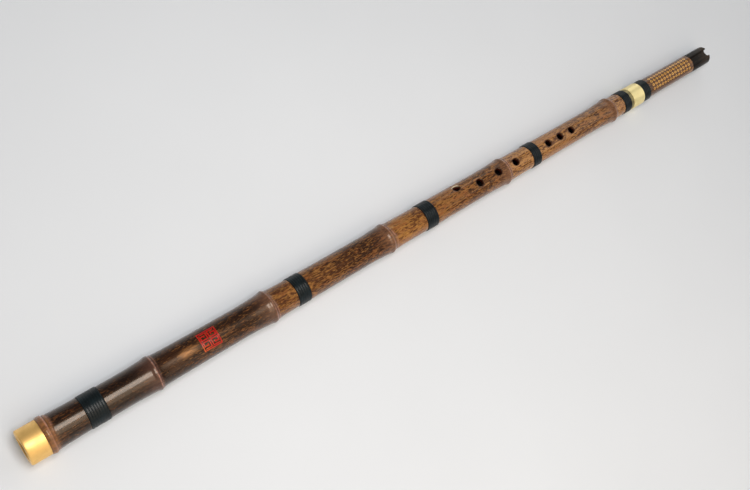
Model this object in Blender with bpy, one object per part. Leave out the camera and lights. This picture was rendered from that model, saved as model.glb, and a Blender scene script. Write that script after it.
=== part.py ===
"""A xiao in two bamboo sections, with brass fittings and cord bindings, in metres.

The flute lies along X: its foot is at the low end and its blowing end at the high end. The finger
holes face +Z. The origin is under the middle of the flute, on the level of its lowest point.
Distances named from the foot are measured along X from the foot's end face.
"""

import math

import bmesh
import bpy
import numpy as np

# Overall
LOWER_LENGTH = 0.675
HEAD_LENGTH = 0.125
SIDES = 32
GLUE_GAP = 0.00015
CONTACT_GAP = 0.0003

# Bamboo
FOOT_BORE_DIAMETER = 0.0180
FOOT_WALL = 0.0055
HEAD_BORE_DIAMETER = 0.0140
BORE_STEP = 0.0005
JOINT_WALL = 0.00185
HEAD_WALL = 0.00365
TIP_WALL = 0.0027
# (share of the lower section's length, share of the way from the foot's radius to the joint's)
LOWER_TAPER = (
    (0.0, 0.0),
    (0.0978, 0.191),
    (0.2474, 0.353),
    (0.4252, 0.456),
    (0.6281, 0.632),
    (0.8459, 0.956),
    (1.0, 1.0),
)
# (share of the head section's length, share of the way from the head tube's radius to the tip's)
HEAD_TAPER = (
    (0.0, 0.0),
    (0.135, 0.06),
    (0.25, 0.45),
    (0.368, 0.62),
    (0.552, 0.78),
    (0.776, 0.90),
    (1.0, 1.0),
)
# (share of the lower section's length, height of the ridge above the tube)
NODES = (
    (0.0296, 0.00175),
    (0.1659, 0.00170),
    (0.3304, 0.00200),
    (0.5207, 0.00175),
    (0.7348, 0.00170),
    (0.9570, 0.00205),
)
RIDGE_SHARE = 0.45
RIDGE_RUN = 0.0026
SWELL_RUN = 0.0145
SHRINK_RUN = 0.0065

# Holes, as (share of the lower section's length, diameter, turn from +Z towards +Y in degrees)
FINGER_HOLES = (
    (0.6479, 0.0072, 34.0),
    (0.6836, 0.0072, 0.0),
    (0.7188, 0.0072, 0.0),
    (0.7532, 0.0072, 0.0),
    (0.8193, 0.0068, 0.0),
    (0.8434, 0.0068, 0.0),
    (0.8670, 0.0068, 0.0),
)
THUMB_HOLE = (0.8948, 0.0068, 180.0)
VENT_HOLES = (
    (0.2815, 0.0060, 156.0),
    (0.2815, 0.0060, 204.0),
    (0.4296, 0.0064, 156.0),
    (0.4296, 0.0064, 204.0),
)
HOLE_SIDES = 16

# Bindings, as (share of the lower section's length, turns, gap between turns, height above the bamboo)
LOWER_BINDINGS = (
    (0.0751, 7, 0.00065, 0.0005),
    (0.3671, 5, 0.00070, 0.0005),
    (0.5815, 5, 0.00080, 0.0007),
    (0.7843, 4, 0.00070, 0.0008),
)
# Bindings on both sides of the joint, as (turns, gap between turns, height above the bamboo)
JOINT_BINDING = (4, 0.00055, 0.0007)
HEAD_BINDING = (4, 0.00070, 0.0008)
HEAD_BINDING_AWAY = 0.0005
CORD_DIAMETER = 0.0015
POINTS_PER_TURN = 24

# Foot ferrule
FERRULE_LENGTH = 0.0170
FERRULE_HEIGHT = 0.0005
FERRULE_WALL = 0.0010
FERRULE_LIP = 0.0012
FERRULE_MOUTH_STEP = 0.0010
FERRULE_ROUNDING = 0.0015

# Joint between the sections
TENON_REACH = 0.0400
TENON_SEAT = 0.0300
TENON_WALL = 0.0011
TENON_CHAMFER = 0.0004
SLIDING_GAP = 0.00015
LAPPING_DEPTH = 0.00065
LAPPING_LENGTH = 0.0160
LAPPING_FROM_TIP = 0.0100
SOCKET_SPARE = 0.0030
SOCKET_WALL = 0.00085
RIM_LENGTH = 0.0032
RIM_CHAMFER = 0.0004
RING_LENGTH = 0.0159
RING_WALL = 0.00085
RING_LIP = 0.0010
RING_ROUNDING = 0.0004

# Mouth tip
TIP_LENGTH = 0.0280
TIP_END_WALL = 0.0035
TIP_SPIGOT_LENGTH = 0.0120
TIP_SPIGOT_WALL = 0.0014
TIP_ROUNDING = 0.0010
NOTCH_WIDTH = 0.0066
NOTCH_PAST_WALL = 0.0012
NOTCH_WIDENING = 0.0030
NOTCH_DEEPENING = 0.0013
NOTCH_FLOOR_HEIGHT = 0.0030

# Radii of the joint, from the bore outwards
HEAD_BORE = HEAD_BORE_DIAMETER / 2
TENON_OUTER = HEAD_BORE + TENON_WALL
LAPPING_FLOOR = TENON_OUTER - LAPPING_DEPTH
TENON_SEAT_RADIUS = TENON_OUTER + GLUE_GAP
SOCKET_INNER = TENON_OUTER + SLIDING_GAP
SOCKET_OUTER = SOCKET_INNER + SOCKET_WALL
SOCKET_SEAT = SOCKET_OUTER + GLUE_GAP
JOINT_RADIUS = SOCKET_SEAT + JOINT_WALL
JOINT_BORE = HEAD_BORE + BORE_STEP

# Radii of the foot
FOOT_BORE = FOOT_BORE_DIAMETER / 2
FOOT_RADIUS = FOOT_BORE + FOOT_WALL
FERRULE_OUTER = FOOT_RADIUS + FERRULE_HEIGHT
FERRULE_INNER = FERRULE_OUTER - FERRULE_WALL
FERRULE_MOUTH = FOOT_BORE + FERRULE_MOUTH_STEP

# Radii of the head
HEAD_RADIUS = HEAD_BORE + HEAD_WALL
TIP_RADIUS = HEAD_BORE + TIP_WALL
TIP_SPIGOT = HEAD_BORE + TIP_SPIGOT_WALL
RING_INNER = HEAD_RADIUS + GLUE_GAP
RING_OUTER = RING_INNER + RING_WALL

# Positions from the foot
LENGTH = LOWER_LENGTH + HEAD_LENGTH
RIM_AT = LOWER_LENGTH - RIM_LENGTH
LOWER_TOP = RIM_AT - GLUE_GAP
RING_AT = LOWER_LENGTH + CONTACT_GAP
RING_END = RING_AT + RING_LENGTH
TENON_TIP = RING_AT - TENON_REACH
LAPPING_AT = TENON_TIP + LAPPING_FROM_TIP
SOCKET_END = TENON_TIP - SOCKET_SPARE
HEAD_BOTTOM = RING_AT + RING_LIP + GLUE_GAP
TENON_TOP = HEAD_BOTTOM + TENON_SEAT
TIP_AT = LENGTH - TIP_LENGTH
HEAD_TOP = TIP_AT + TIP_SPIGOT_LENGTH


def on_lower(share):
    """The position from the foot of a share of the lower section's length."""
    return share * LOWER_LENGTH


def interpolated(place, table):
    """The value at a place, on straight lines between the rows of a table of (place, value)."""
    places, values = zip(*table)
    return float(np.interp(place, places, values))


def node_height(position):
    """How far the nodes lift the tube's surface: a slow swell up to each ridge and a quick fall past it."""
    height = 0.0
    for share, full in NODES:
        away = position - on_lower(share)
        ridge = RIDGE_SHARE * full * math.exp(-((away / RIDGE_RUN) ** 2))
        if away < 0:
            swell = math.exp(-((away / SWELL_RUN) ** 2))
        else:
            swell = math.exp(-away / SHRINK_RUN)
        height += ridge + (1 - RIDGE_SHARE) * full * swell
    return height


def lower_radius(position):
    narrowing = interpolated(position / LOWER_LENGTH, LOWER_TAPER)
    return FOOT_RADIUS + narrowing * (JOINT_RADIUS - FOOT_RADIUS) + node_height(position)


def head_radius(position):
    narrowing = interpolated((position - LOWER_LENGTH) / HEAD_LENGTH, HEAD_TAPER)
    return HEAD_RADIUS + narrowing * (TIP_RADIUS - HEAD_RADIUS)


def binding_width(turns, gap):
    return turns * (CORD_DIAMETER + gap) + CORD_DIAMETER


def binding_radius(binding, surface):
    """The radius of the cord's middle line: its outside stands at the stated height above the bamboo."""
    start, turns, gap, height = binding
    return surface(start + binding_width(turns, gap) / 2) + height - CORD_DIAMETER / 2


def groove_floor(binding, surface):
    """The radius of the floor under a binding, a contact gap clear of the cord where it bends least."""
    middle = binding_radius(binding, surface) * math.cos(math.pi / POINTS_PER_TURN)
    return middle - CORD_DIAMETER / 2 - CONTACT_GAP


# Bindings, as (position from the foot, turns, gap between turns, height above the bamboo)
BINDINGS = [(on_lower(share), *rest) for share, *rest in LOWER_BINDINGS]
BINDINGS.append((RIM_AT - CONTACT_GAP - binding_width(*JOINT_BINDING[:2]), *JOINT_BINDING))
TOP_BINDING = (RING_END + HEAD_BINDING_AWAY, *HEAD_BINDING)

RIM_RADIUS = lower_radius(RIM_AT)
AXIS_HEIGHT = math.cos(math.pi / SIDES) * max(lower_radius(on_lower(share)) for share, _ in NODES)


def world_x(position):
    return position - LENGTH / 2


def finish_material(name, colour, roughness, metallic):
    made = bpy.data.materials.new(name)
    made.use_nodes = True
    shader = made.node_tree.nodes["Principled BSDF"]
    shader.inputs["Base Color"].default_value = (*colour, 1.0)
    shader.inputs["Roughness"].default_value = roughness
    shader.inputs["Metallic"].default_value = metallic
    return made


def clear_scene():
    for item in list(bpy.data.objects):
        bpy.data.objects.remove(item)


def placed_mesh(name, mesh, material, parent):
    piece = bpy.data.objects.new(name, mesh)
    bpy.context.scene.collection.objects.link(piece)
    mesh.materials.append(material)
    mesh.shade_smooth()
    mesh.set_sharp_from_angle(angle=math.radians(30))
    piece.parent = parent
    return piece


def turned_mesh(name, profile):
    """A closed outline of (position, radius) points turned round X, with a flat facing straight down.

    The outline runs up the outside and back down the inside.
    """
    angles = (np.arange(SIDES) + 0.5) * 2 * math.pi / SIDES
    outline = np.array(profile)
    rings = len(outline)
    points = np.empty((rings, SIDES, 3))
    points[:, :, 0] = (outline[:, 0] - LOWER_LENGTH)[:, None]
    points[:, :, 1] = outline[:, 1][:, None] * np.sin(angles)
    points[:, :, 2] = outline[:, 1][:, None] * np.cos(angles)
    faces = []
    for ring in range(rings):
        after = (ring + 1) % rings
        for side in range(SIDES):
            beside = (side + 1) % SIDES
            corners = (
                ring * SIDES + side,
                after * SIDES + side,
                after * SIDES + beside,
                ring * SIDES + beside,
            )
            faces.append(corners)
    mesh = bpy.data.meshes.new(name)
    mesh.from_pydata(points.reshape(-1, 3).tolist(), [], faces)
    return mesh


def rounded_corner(position, radius, rounding, outward, steps=3):
    """Points of a quarter round from an end face out to the side. outward is -1 at a low end, 1 at a high one."""
    turns = [step * math.pi / 2 / steps for step in range(steps + 1)]
    arc = [
        (
            position - outward * rounding * (1 - math.cos(turn)),
            radius - rounding * (1 - math.sin(turn)),
        )
        for turn in turns
    ]
    return arc


def grooved_surface(stations, bindings, surface):
    """The outside of a bamboo tube as (position, radius) points, with a groove under each binding.

    A groove that comes too near the tube's end to leave bamboo there is open at the end.
    """
    end = stations[-1]
    points = {station: [(station, surface(station))] for station in stations}
    for binding in bindings:
        low = binding[0] - CONTACT_GAP
        high = binding[0] + binding_width(*binding[1:3]) + CONTACT_GAP
        floor = groove_floor(binding, surface)
        points = {at: made for at, made in points.items() if not low <= at <= high}
        if high + CORD_DIAMETER < end:
            points[low] = [(low, surface(low)), (low, floor), (high, floor), (high, surface(high))]
        else:
            points = {at: made for at, made in points.items() if at < low}
            points[low] = [(low, surface(low)), (low, floor), (end, floor)]
    return [point for at in sorted(points) for point in points[at]]


def lower_stations(start, end):
    """Stations close together round each node and two between neighbouring nodes."""
    near = (-0.020, -0.013, -0.0075, -0.004, -0.0018, 0.0, 0.0016, 0.0036, 0.0075, 0.014)
    places = [on_lower(share) for share, _ in NODES]
    found = {start, end}
    for place in places:
        found.update(place + step for step in near)
    for before, after in zip(places, places[1:]):
        found.update(before + share * (after - before) for share in (0.36, 0.58))
    return sorted(at for at in found if start <= at <= end)


def hole_cutter(position, diameter, turn, depth):
    """A round bar from the flute's axis outwards, for one hole."""
    tool = bmesh.new()
    bmesh.ops.create_cone(
        tool,
        cap_ends=True,
        segments=HOLE_SIDES,
        radius1=diameter / 2,
        radius2=diameter / 2,
        depth=depth,
    )
    bmesh.ops.translate(tool, verts=tool.verts, vec=(0.0, 0.0, depth / 2))
    mesh = bpy.data.meshes.new("hole_cutter")
    tool.to_mesh(mesh)
    tool.free()
    cutter = bpy.data.objects.new("hole_cutter", mesh)
    bpy.context.scene.collection.objects.link(cutter)
    cutter.rotation_euler = (-math.radians(turn), 0.0, 0.0)
    cutter.location = (world_x(position), 0.0, AXIS_HEIGHT)
    cutter.hide_render = True
    cutter.display_type = "WIRE"
    return cutter


def cut(piece, cutter):
    modifier = piece.modifiers.new(cutter.name, "BOOLEAN")
    modifier.operation = "DIFFERENCE"
    modifier.object = cutter


def lower_tube(material, parent):
    foot = FERRULE_LIP + GLUE_GAP
    shoulder = FERRULE_LENGTH + GLUE_GAP
    spigot = FERRULE_INNER - GLUE_GAP
    step = SOCKET_END - GLUE_GAP
    outside = grooved_surface(lower_stations(shoulder, LOWER_TOP), BINDINGS, lower_radius)
    profile = [
        (foot, FOOT_BORE),
        (foot, spigot),
        (shoulder, spigot),
        *outside,
        (LOWER_TOP, SOCKET_SEAT),
        (step, SOCKET_SEAT),
        (step, JOINT_BORE),
    ]
    piece = placed_mesh("lower_tube", turned_mesh("lower_tube", profile), material, parent)
    for share, diameter, turn in (*FINGER_HOLES, THUMB_HOLE, *VENT_HOLES):
        position = on_lower(share)
        cut(piece, hole_cutter(position, diameter, turn, 2 * lower_radius(position)))
    return piece


def foot_ferrule(material, parent):
    profile = [
        (0.0, FERRULE_MOUTH),
        *rounded_corner(0.0, FERRULE_OUTER, FERRULE_ROUNDING, -1),
        (FERRULE_LENGTH, FERRULE_OUTER),
        (FERRULE_LENGTH, FERRULE_INNER),
        (FERRULE_LIP, FERRULE_INNER),
        (FERRULE_LIP, FERRULE_MOUTH),
    ]
    return placed_mesh("foot_ferrule", turned_mesh("foot_ferrule", profile), material, parent)


def socket_sleeve(material, parent):
    """A thin tube in the counterbore, with a flange that shows as a narrow rim round the joint."""
    profile = [
        (SOCKET_END, SOCKET_OUTER),
        (RIM_AT, SOCKET_OUTER),
        (RIM_AT, RIM_RADIUS - RIM_CHAMFER),
        (RIM_AT + RIM_CHAMFER, RIM_RADIUS),
        (LOWER_LENGTH - RIM_CHAMFER, RIM_RADIUS),
        (LOWER_LENGTH, RIM_RADIUS - RIM_CHAMFER),
        (LOWER_LENGTH, SOCKET_INNER + RIM_CHAMFER),
        (LOWER_LENGTH - RIM_CHAMFER, SOCKET_INNER),
        (SOCKET_END, SOCKET_INNER),
    ]
    return placed_mesh("socket_sleeve", turned_mesh("socket_sleeve", profile), material, parent)


def tenon_sleeve(material, parent):
    groove_end = LAPPING_AT + LAPPING_LENGTH + 2 * GLUE_GAP
    profile = [
        (TENON_TIP, HEAD_BORE),
        (TENON_TIP, TENON_OUTER - TENON_CHAMFER),
        (TENON_TIP + TENON_CHAMFER, TENON_OUTER),
        (LAPPING_AT, TENON_OUTER),
        (LAPPING_AT, LAPPING_FLOOR),
        (groove_end, LAPPING_FLOOR),
        (groove_end, TENON_OUTER),
        (TENON_TOP, TENON_OUTER),
        (TENON_TOP, HEAD_BORE),
    ]
    return placed_mesh("tenon_sleeve", turned_mesh("tenon_sleeve", profile), material, parent)


def tenon_lapping(material, parent):
    start = LAPPING_AT + GLUE_GAP
    profile = [
        (start, LAPPING_FLOOR + GLUE_GAP),
        (start, TENON_OUTER),
        (start + LAPPING_LENGTH, TENON_OUTER),
        (start + LAPPING_LENGTH, LAPPING_FLOOR + GLUE_GAP),
    ]
    return placed_mesh("tenon_lapping", turned_mesh("tenon_lapping", profile), material, parent)


def head_ferrule(material, parent):
    """A wide ring over the head tube's end, with a lip between that end and the rim of the socket."""
    profile = [
        (RING_AT, TENON_SEAT_RADIUS),
        *rounded_corner(RING_AT, RING_OUTER, RING_ROUNDING, -1),
        *reversed(rounded_corner(RING_END, RING_OUTER, RING_ROUNDING, 1)),
        (RING_END, RING_INNER),
        (RING_AT + RING_LIP, RING_INNER),
        (RING_AT + RING_LIP, TENON_SEAT_RADIUS),
    ]
    return placed_mesh("head_ferrule", turned_mesh("head_ferrule", profile), material, parent)


def head_tube(material, parent):
    places = [LOWER_LENGTH + share * HEAD_LENGTH for share, _ in HEAD_TAPER]
    shoulder = TIP_AT - GLUE_GAP
    stations = [HEAD_BOTTOM, *(at for at in places if HEAD_BOTTOM < at < shoulder), shoulder]
    profile = [
        (HEAD_BOTTOM, TENON_SEAT_RADIUS),
        *grooved_surface(stations, [TOP_BINDING], head_radius),
        (shoulder, TIP_SPIGOT),
        (HEAD_TOP, TIP_SPIGOT),
        (HEAD_TOP, HEAD_BORE),
        (TENON_TOP + GLUE_GAP, HEAD_BORE),
        (TENON_TOP + GLUE_GAP, TENON_SEAT_RADIUS),
    ]
    return placed_mesh("head_tube", turned_mesh("head_tube", profile), material, parent)


def notch_outline(width, depth, points=9):
    """A U of (position, sideways) points: half a turn round its bottom and two sides past the end face."""
    half = width / 2
    bottom = LENGTH - depth + half
    turns = np.linspace(-math.pi / 2, math.pi / 2, points)
    bend = [(bottom - half * math.cos(turn), half * math.sin(turn)) for turn in turns]
    past = LENGTH + depth
    return [(past, -half), *bend, (past, half)]


def notch_cutter():
    """The blowing notch: a U through the end wall into the bore, wider and deeper towards the outside."""
    depth = TIP_END_WALL + NOTCH_PAST_WALL
    inside = notch_outline(NOTCH_WIDTH, depth)
    outside = notch_outline(NOTCH_WIDTH + NOTCH_WIDENING, depth + NOTCH_DEEPENING)
    levels = (
        (NOTCH_FLOOR_HEIGHT, inside),
        (HEAD_BORE, inside),
        (TIP_RADIUS, outside),
        (TIP_RADIUS + TIP_WALL, outside),
    )
    tool = bmesh.new()
    rings = [[tool.verts.new((x, y, z)) for x, y in ring] for z, ring in levels]
    tool.faces.new(rings[0])
    tool.faces.new(rings[-1])
    for lower, upper in zip(rings, rings[1:]):
        for index in range(len(lower)):
            after = (index + 1) % len(lower)
            tool.faces.new((lower[index], lower[after], upper[after], upper[index]))
    bmesh.ops.recalc_face_normals(tool, faces=tool.faces)
    mesh = bpy.data.meshes.new("notch_cutter")
    tool.to_mesh(mesh)
    tool.free()
    cutter = bpy.data.objects.new("notch_cutter", mesh)
    bpy.context.scene.collection.objects.link(cutter)
    cutter.location = (world_x(0.0), 0.0, AXIS_HEIGHT)
    cutter.hide_render = True
    cutter.display_type = "WIRE"
    return cutter


def mouth_tip(material, parent):
    """A cap over the head tube's spigot, closed at the end but for the notch."""
    socket = TIP_SPIGOT + GLUE_GAP
    end = LENGTH - TIP_END_WALL
    profile = [
        (TIP_AT, socket),
        (TIP_AT, head_radius(TIP_AT)),
        *reversed(rounded_corner(LENGTH, head_radius(LENGTH), TIP_ROUNDING, 1)),
    ]
    inside = [(end, HEAD_BORE), (HEAD_TOP + GLUE_GAP, HEAD_BORE), (HEAD_TOP + GLUE_GAP, socket)]
    mesh = capped_mesh("mouth_tip", profile, inside)
    piece = placed_mesh("mouth_tip", mesh, material, parent)
    cut(piece, notch_cutter())
    return piece


def capped_mesh(name, outside, inside):
    """An outline turned round X whose two runs end on flat discs: an outer end face and an inner end wall."""
    angles = (np.arange(SIDES) + 0.5) * 2 * math.pi / SIDES
    tool = bmesh.new()
    rings = []
    for position, radius in (*outside, *inside):
        ring = [
            tool.verts.new((position - LOWER_LENGTH, radius * math.sin(turn), radius * math.cos(turn)))
            for turn in angles
        ]
        rings.append(ring)
    joined = [(rings[i], rings[i + 1]) for i in range(len(rings) - 1) if i != len(outside) - 1]
    joined.append((rings[-1], rings[0]))
    for first, second in joined:
        for side in range(SIDES):
            beside = (side + 1) % SIDES
            tool.faces.new((first[side], second[side], second[beside], first[beside]))
    tool.faces.new(reversed(rings[len(outside) - 1]))
    tool.faces.new(rings[len(outside)])
    mesh = bpy.data.meshes.new(name)
    tool.to_mesh(mesh)
    tool.free()
    return mesh


def cord_route(binding, surface):
    """The middle line of a binding: a helix on the bamboo, straight for one cord diameter at each end."""
    start, turns, gap, _ = binding
    pitch = CORD_DIAMETER + gap
    radius = binding_radius(binding, surface)
    count = turns * POINTS_PER_TURN + 1
    turn = np.arange(count) * 2 * math.pi / POINTS_PER_TURN
    route = np.empty((count, 3))
    route[:, 0] = start + CORD_DIAMETER / 2 + pitch * turn / (2 * math.pi) - LOWER_LENGTH
    route[:, 1] = radius * np.sin(turn)
    route[:, 2] = -radius * np.cos(turn)
    tangent = np.array([0.0, 1.0, 0.0]) * CORD_DIAMETER
    return np.vstack([route[0] - tangent, route, route[-1] + tangent])


def least_gap(route):
    """The least distance between points of a cord over half a turn apart, less the cord's diameter."""
    apart = np.linalg.norm(route[:, None, :] - route[None, :, :], axis=2)
    index = np.arange(len(route))
    far = np.abs(index[:, None] - index[None, :]) > POINTS_PER_TURN // 2
    return float(apart[far].min()) - CORD_DIAMETER


def wound_binding(name, binding, surface, material, parent):
    route = cord_route(binding, surface)
    gap = least_gap(route)
    print(f"{name}: {binding[1]} turns, least gap between turns {gap * 1000:.2f} mm")
    curve = bpy.data.curves.new(name, "CURVE")
    curve.dimensions = "3D"
    curve.bevel_depth = CORD_DIAMETER / 2
    curve.bevel_resolution = 1
    curve.use_fill_caps = True
    spline = curve.splines.new("POLY")
    spline.points.add(len(route) - 1)
    spline.points.foreach_set("co", np.c_[route, np.ones(len(route))].ravel())
    spline.use_smooth = True
    piece = bpy.data.objects.new(name, curve)
    bpy.context.scene.collection.objects.link(piece)
    curve.materials.append(material)
    piece.parent = parent
    return piece


def section_anchor(name):
    """An empty at the joint on the flute's axis, which carries a section's pieces."""
    anchor = bpy.data.objects.new(name, None)
    bpy.context.scene.collection.objects.link(anchor)
    anchor.location = (world_x(LOWER_LENGTH), 0.0, AXIS_HEIGHT)
    return anchor


def main():
    clear_scene()
    dark_bamboo = finish_material("dark_bamboo", (0.085, 0.036, 0.016), 0.35, 0.0)
    golden_bamboo = finish_material("golden_bamboo", (0.22, 0.10, 0.035), 0.35, 0.0)
    brass = finish_material("brass", (0.83, 0.62, 0.27), 0.22, 1.0)
    black_cord = finish_material("black_cord", (0.010, 0.012, 0.012), 0.38, 0.0)
    waxed_thread = finish_material("waxed_thread", (0.55, 0.42, 0.22), 0.60, 0.0)
    horn = finish_material("horn", (0.018, 0.013, 0.010), 0.30, 0.0)

    lower = section_anchor("lower_section")
    lapping = section_anchor("lapping_section")
    head = section_anchor("head_section")

    lower_tube(dark_bamboo, lower)
    foot_ferrule(brass, lower)
    socket_sleeve(brass, lower)
    for number, binding in enumerate(BINDINGS, 1):
        wound_binding(f"binding_{number}", binding, lower_radius, black_cord, lower)

    tenon_lapping(waxed_thread, lapping)

    tenon_sleeve(brass, head)
    head_ferrule(brass, head)
    head_tube(golden_bamboo, head)
    wound_binding("binding_6", TOP_BINDING, head_radius, black_cord, head)
    mouth_tip(horn, head)


main()
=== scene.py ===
"""Looks for a xiao in two sections: fine surfaces, finishes, a small studio and a camera, in metres.

The flute lies along X with its foot at the low end. A place is a distance from the foot's end face, and a
turn is an angle round the bore from +Z, the side of the finger holes, towards +Y.
"""

import math

import bpy
import numpy as np
from mathutils import Matrix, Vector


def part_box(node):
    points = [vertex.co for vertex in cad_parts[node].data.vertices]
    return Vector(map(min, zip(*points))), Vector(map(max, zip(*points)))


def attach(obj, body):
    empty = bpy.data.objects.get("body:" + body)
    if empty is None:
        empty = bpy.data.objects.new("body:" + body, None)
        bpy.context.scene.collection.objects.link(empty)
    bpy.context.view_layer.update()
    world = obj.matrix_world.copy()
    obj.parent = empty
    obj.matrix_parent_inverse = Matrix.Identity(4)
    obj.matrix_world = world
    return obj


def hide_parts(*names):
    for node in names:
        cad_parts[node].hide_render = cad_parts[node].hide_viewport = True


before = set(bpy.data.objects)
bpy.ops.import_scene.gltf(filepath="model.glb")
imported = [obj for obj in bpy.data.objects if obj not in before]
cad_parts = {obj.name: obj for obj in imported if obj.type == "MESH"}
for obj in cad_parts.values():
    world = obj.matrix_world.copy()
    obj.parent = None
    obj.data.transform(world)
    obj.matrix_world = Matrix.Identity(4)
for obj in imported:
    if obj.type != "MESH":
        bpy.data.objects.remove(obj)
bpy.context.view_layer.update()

bl_info = {
    "name": "Xiao looks",
    "version": (1, 0, 0),
    "blender": (4, 5, 0),
    "location": "3D View > Sidebar > Xiao",
    "description": "Surfaces, finishes and a studio for a bamboo xiao in two sections",
    "category": "Object",
}

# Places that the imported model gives
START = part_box("foot_ferrule")[0].x
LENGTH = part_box("mouth_tip")[1].x - START
AXIS_HEIGHT = (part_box("foot_ferrule")[0].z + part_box("foot_ferrule")[1].z) / 2

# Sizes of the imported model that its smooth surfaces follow
LOWER_LENGTH = 0.675
HEAD_LENGTH = LENGTH - LOWER_LENGTH
GLUE_GAP = 0.00015
CONTACT_GAP = 0.0003
FOOT_BORE = 0.0090
HEAD_BORE = 0.0070
JOINT_BORE = 0.0075
FOOT_RADIUS = 0.0145
JOINT_RADIUS = 0.0111
HEAD_RADIUS = 0.01065
TIP_RADIUS = 0.0097
LOWER_TAPER = (
    (0.0, 0.0978, 0.2474, 0.4252, 0.6281, 0.8459, 1.0),
    (0.0, 0.191, 0.353, 0.456, 0.632, 0.956, 1.0),
)
HEAD_TAPER = ((0.0, 0.135, 0.25, 0.368, 0.552, 0.776, 1.0), (0.0, 0.06, 0.45, 0.62, 0.78, 0.90, 1.0))
# (place, height of the ridge above the tube, turn to which its scar leans)
NODES = (
    (0.01998, 0.00175, 0.4),
    (0.11198, 0.00170, 2.2),
    (0.22302, 0.00200, 4.1),
    (0.35147, 0.00175, 5.3),
    (0.49599, 0.00170, 1.1),
    (0.64598, 0.00205, 3.0),
)
RIDGE_SHARE = 0.45
RIDGE_RUN = 0.0026
SWELL_RUN = 0.0145
SHRINK_RUN = 0.0065
# (place, diameter, turn in degrees)
HOLES = (
    (0.43733, 0.0072, 34.0),
    (0.46143, 0.0072, 0.0),
    (0.48519, 0.0072, 0.0),
    (0.50841, 0.0072, 0.0),
    (0.55303, 0.0068, 0.0),
    (0.56930, 0.0068, 0.0),
    (0.58523, 0.0068, 0.0),
    (0.60399, 0.0068, 180.0),
    (0.19001, 0.0060, 156.0),
    (0.19001, 0.0060, 204.0),
    (0.28998, 0.0064, 156.0),
    (0.28998, 0.0064, 204.0),
)
CORD = 0.0015
# (node, place of the low end, turns, gap between turns, height above the bamboo)
LOWER_BINDINGS = (
    ("binding_1", 0.05069, 7, 0.00065, 0.0005),
    ("binding_2", 0.24779, 5, 0.00070, 0.0005),
    ("binding_3", 0.39251, 5, 0.00080, 0.0007),
    ("binding_4", 0.52940, 4, 0.00070, 0.0008),
    ("binding_5", 0.66180, 4, 0.00055, 0.0007),
)
HEAD_BINDING = ("binding_6", 0.69170, 4, 0.00070, 0.0008)
FERRULE_LENGTH = 0.0170
FERRULE_OUTER = 0.0150
FERRULE_INNER = 0.0140
FERRULE_LIP = 0.0012
FERRULE_MOUTH = 0.0100
TENON_OUTER = 0.0081
LAPPING_FLOOR = 0.00745
SOCKET_INNER = 0.00825
SOCKET_OUTER = 0.0091
RIM_AT = 0.6718
SOCKET_END = 0.6323
RING_AT = 0.6753
RING_END = 0.6912
RING_OUTER = 0.01165
RING_LIP = 0.0010
TENON_TIP = 0.6353
LAPPING_AT = 0.6453
LAPPING_LENGTH = 0.0160
TENON_TOP = 0.70645
TIP_AT = 0.7720
HEAD_TOP = 0.7840
SPIGOT_WALL = 0.0014
TIP_SOCKET = 0.00855
TIP_END_WALL = 0.0035
NOTCH_WIDTH = 0.0066
NOTCH_DEPTH = 0.0047
NOTCH_WIDENING = 0.0030
NOTCH_DEEPENING = 0.0013
NOTCH_FLOOR_HEIGHT = 0.0030

# Places of the painted and gilded ornament
SEAL_PLACE = 0.16265
LOZENGE_PLACE = 0.7370

# Grids: columns round a tube, half the length of the block of faces that a hole takes, and sides of a hole
COLUMNS = 96
BLOCK = 0.0060
HOLE_SIDES = 48
# Rings along a block and half its width in columns, so that each block's edge has as many sides as a hole
OUTSIDE_BLOCK = (13, 6)
BORE_BLOCK = (7, 9)
# How red and how dark each ring of a hole's wall is, from the outside in
HOLE_LINED = (0, 0, 0, 0, 0, 0, 0, 0.6, 1, 1, 1, 1, 1, 1)
HOLE_EDGE = (0, 0, 0.8, 1, 1, 1, 0.8, 0.3, 0, 0, 0, 0, 0, 0)


def a_length(name, description, default, low, high):
    return bpy.props.FloatProperty(
        name=name, description=description, default=default, min=low, max=high, unit="LENGTH", precision=5
    )


def a_count(name, description, default, high):
    return bpy.props.IntProperty(name=name, description=description, default=default, min=1, max=high)


def a_colour(name, description, default):
    return bpy.props.FloatVectorProperty(
        name=name, description=description, default=default, min=0.0, max=1.0, subtype="COLOR"
    )


def a_power(name, description, default):
    return bpy.props.FloatProperty(name=name, description=description, default=default, min=0.0, unit="POWER")


def a_brightness(name, description, default):
    return bpy.props.FloatProperty(name=name, description=description, default=default, min=0.0, max=4.0)


class FluteSizes(bpy.types.PropertyGroup):
    scar_height: a_length("Scar height", "Height of the lip of each node's scar", 0.00022, 0.0, 0.0005)
    unevenness: a_length("Unevenness", "How far the bamboo strays from a true round", 0.00012, 0.0, 0.0004)
    hole_easing: a_length("Hole easing", "Rounding of the holes' outer edges", 0.00040, 0.0001, 0.0008)
    turn_depth: a_length("Turn depth", "Depth of the valleys between broad turns", 0.00024, 0.0, 0.0006)
    thread_depth: a_length("Thread depth", "Depth of the valleys between threads", 0.00004, 0.0, 0.0002)
    lozenge_size: a_length("Lozenge size", "Length of one gilt lozenge", 0.0028, 0.001, 0.004)
    lozenge_rows: a_count("Lozenge rows", "Rows of gilt lozenges round the head section", 4, 6)
    lozenge_count: a_count("Lozenges in a row", "Gilt lozenges in each row", 14, 18)
    seal_size: a_length("Seal size", "Side of the red square on the lower section", 0.0168, 0.008, 0.020)


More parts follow.
